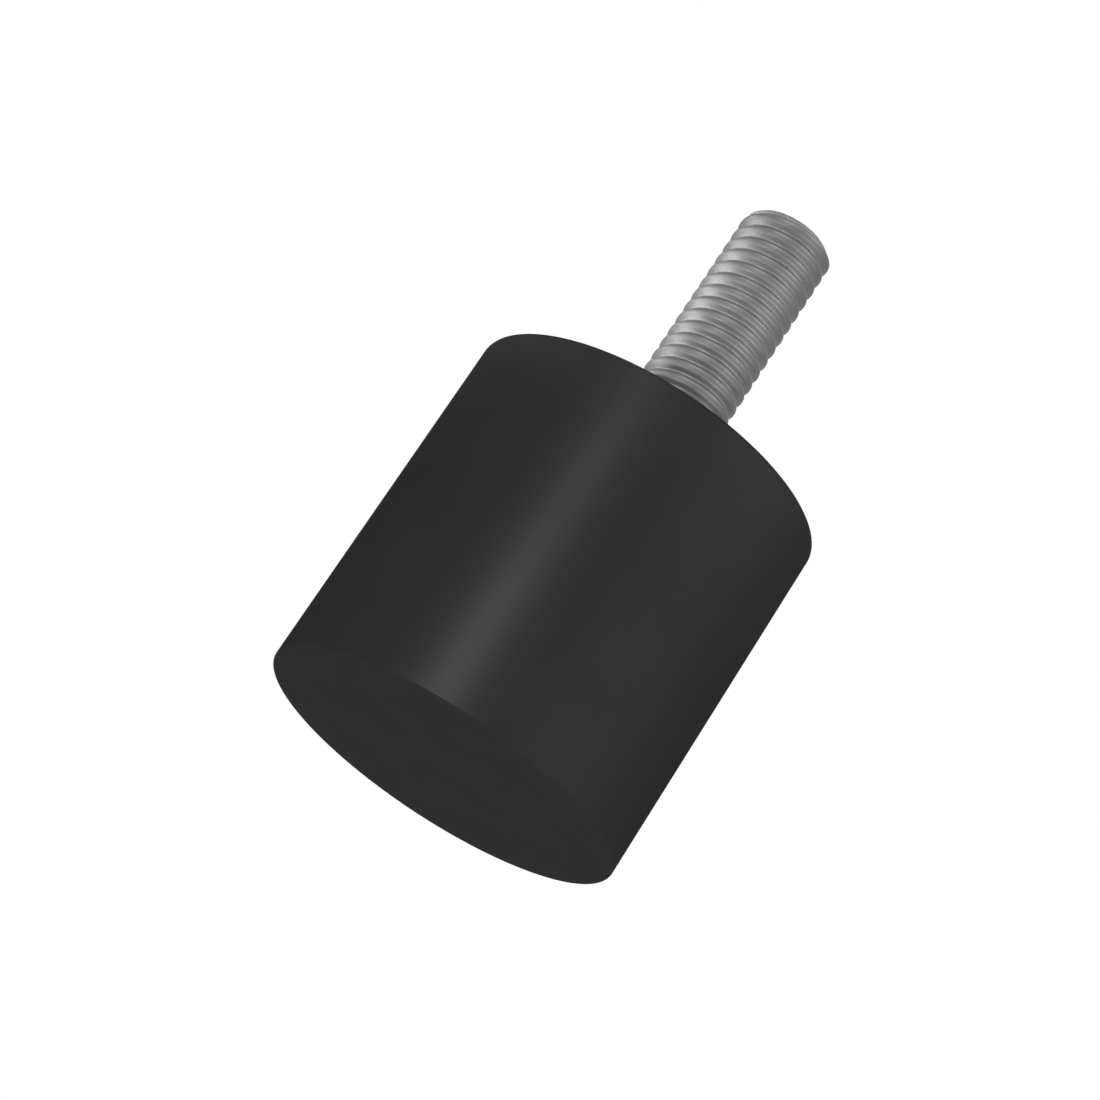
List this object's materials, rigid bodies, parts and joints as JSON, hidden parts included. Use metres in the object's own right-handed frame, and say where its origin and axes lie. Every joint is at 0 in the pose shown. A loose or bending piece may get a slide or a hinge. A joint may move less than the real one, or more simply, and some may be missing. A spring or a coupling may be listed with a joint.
{
  "type": "bobbin vibration mount",
  "caption": "Cylindrical rubber vibration mount with a threaded steel stud bonded into one end and a plain rubber face at the other.",
  "frame": {"origin": "centre of the plain rubber face, which the mount stands on", "axes": "+Z along the stud, out of the rubber"},
  "size_m": [0.03, 0.03, 0.053],
  "materials": {
    "rubber": "matt black moulded rubber",
    "plated_disc": "zinc-plated pressed steel, satin",
    "plated_stud": "zinc-plated rolled thread, satin"
  },
  "bodies": {
    "root": {"rubber_body": "rubber", "end_disc": "plated_disc", "threaded_stud": "plated_stud"}
  },
  "joints": []
}
